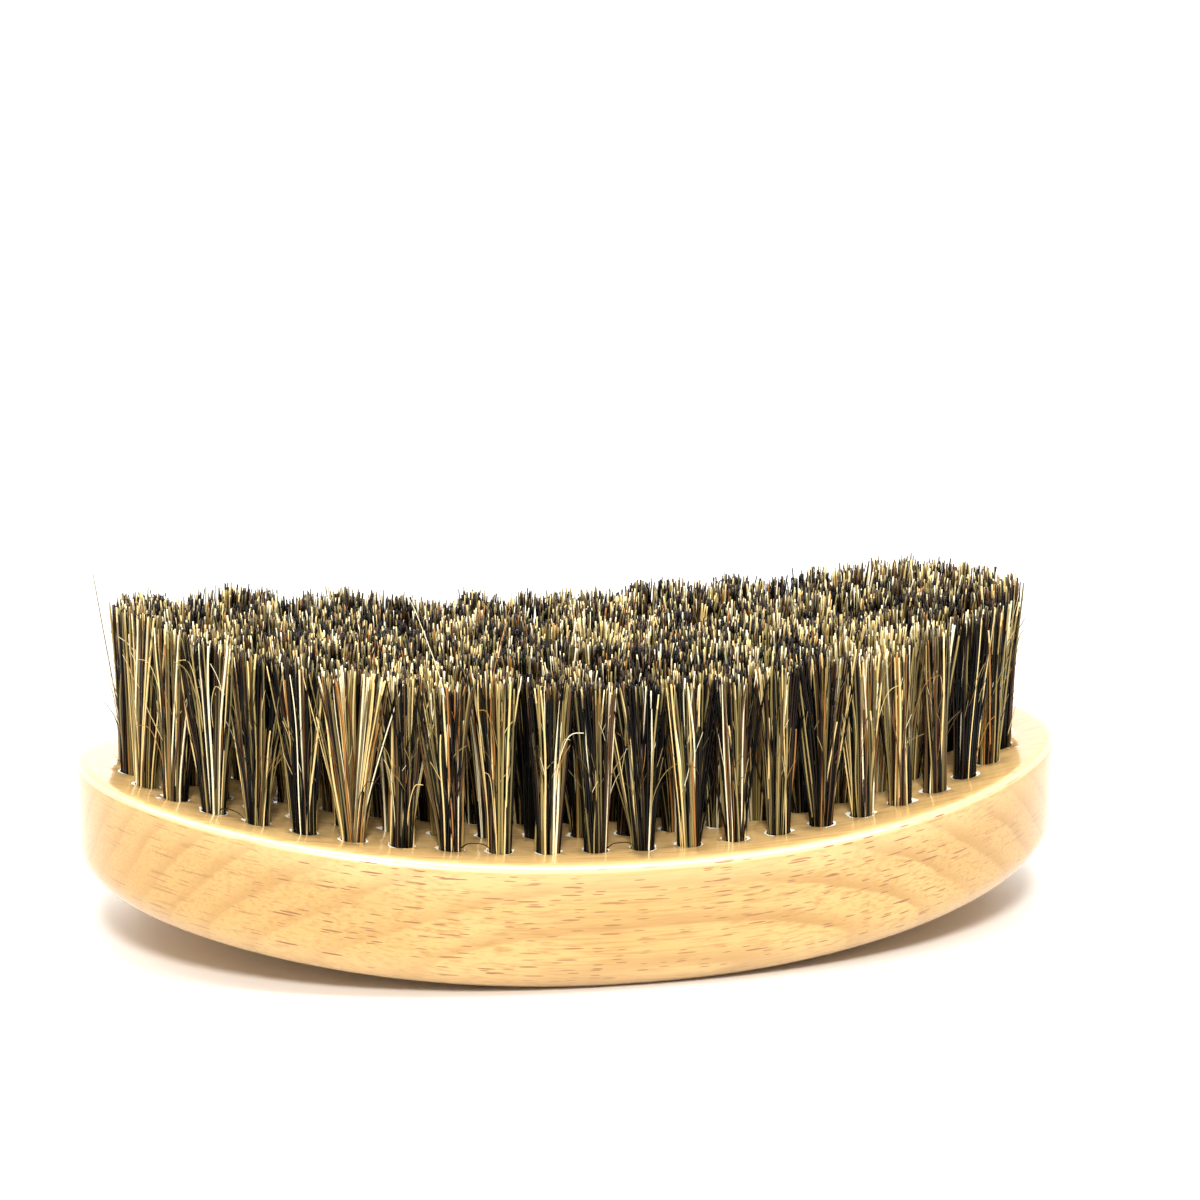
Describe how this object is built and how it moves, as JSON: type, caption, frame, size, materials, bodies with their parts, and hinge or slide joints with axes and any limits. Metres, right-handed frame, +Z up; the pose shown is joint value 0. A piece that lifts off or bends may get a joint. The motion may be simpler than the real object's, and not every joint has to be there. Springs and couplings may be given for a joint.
{
  "type": "curved palm hair and beard brush",
  "caption": "Palm-held oval beech brush block, bent along its length, with nested rows of stiff natural bristle tufts set in blind holes in its concave face.",
  "frame": {"origin": "under the middle of the block, on the surface that its convex back rests on", "axes": "+X along the block, +Y across it, +Z up out of the bristle face"},
  "size_m": [0.125, 0.069, 0.042],
  "materials": {
    "beech": "clear satin lacquer over steamed beech with short dark ray flecks",
    "bristle": "natural boar bristle, glossy, mixed black, dark brown, amber and cream hairs",
    "anchor_wire": "flat drawn steel wire"
  },
  "bodies": {
    "root": {"brush_block": "beech", "row1_tufts_01": "bristle", "row1_tufts_02": "bristle", "row1_tufts_03": "bristle", "row1_tufts_04": "bristle", "row1_tufts_05": "bristle", "row1_tufts_06": "bristle", "row1_tufts_07": "bristle", "row1_tufts_08": "bristle", "row1_tufts_09": "bristle", "row1_tufts_10": "bristle", "row1_tufts_11": "bristle", "row1_tufts_12": "bristle", "row2_tufts_01": "bristle", "row2_tufts_02": "bristle", "row2_tufts_03": "bristle", "row2_tufts_04": "bristle", "row2_tufts_05": "bristle", "row2_tufts_06": "bristle", "row2_tufts_07": "bristle", "row2_tufts_08": "bristle", "row2_tufts_09": "bristle", "row2_tufts_10": "bristle", "row3_tufts_01": "bristle", "row3_tufts_02": "bristle", "row3_tufts_03": "bristle", "row3_tufts_04": "bristle", "row3_tufts_05": "bristle", "row3_tufts_06": "bristle", "row3_tufts_07": "bristle", "row3_tufts_08": "bristle", "row4_tufts_01": "bristle", "row4_tufts_02": "bristle", "row4_tufts_03": "bristle", "row4_tufts_04": "bristle", "row4_tufts_05": "bristle", "row4_tufts_06": "bristle", "row4_tufts_07": "bristle", "centre_tuft_01": "bristle", "centre_anchor_01": "anchor_wire", "centre_tuft_02": "bristle", "centre_anchor_02": "anchor_wire", "centre_tuft_03": "bristle", "centre_anchor_03": "anchor_wire", "centre_tuft_04": "bristle", "centre_anchor_04": "anchor_wire", "centre_tuft_05": "bristle", "centre_anchor_05": "anchor_wire", "centre_tuft_06": "bristle", "centre_anchor_06": "anchor_wire", "centre_tuft_07": "bristle", "centre_anchor_07": "anchor_wire", "centre_tuft_08": "bristle", "centre_anchor_08": "anchor_wire", "centre_tuft_09": "bristle", "centre_anchor_09": "anchor_wire", "centre_tuft_10": "bristle", "centre_anchor_10": "anchor_wire", "centre_tuft_11": "bristle", "centre_anchor_11": "anchor_wire"}
  },
  "joints": []
}
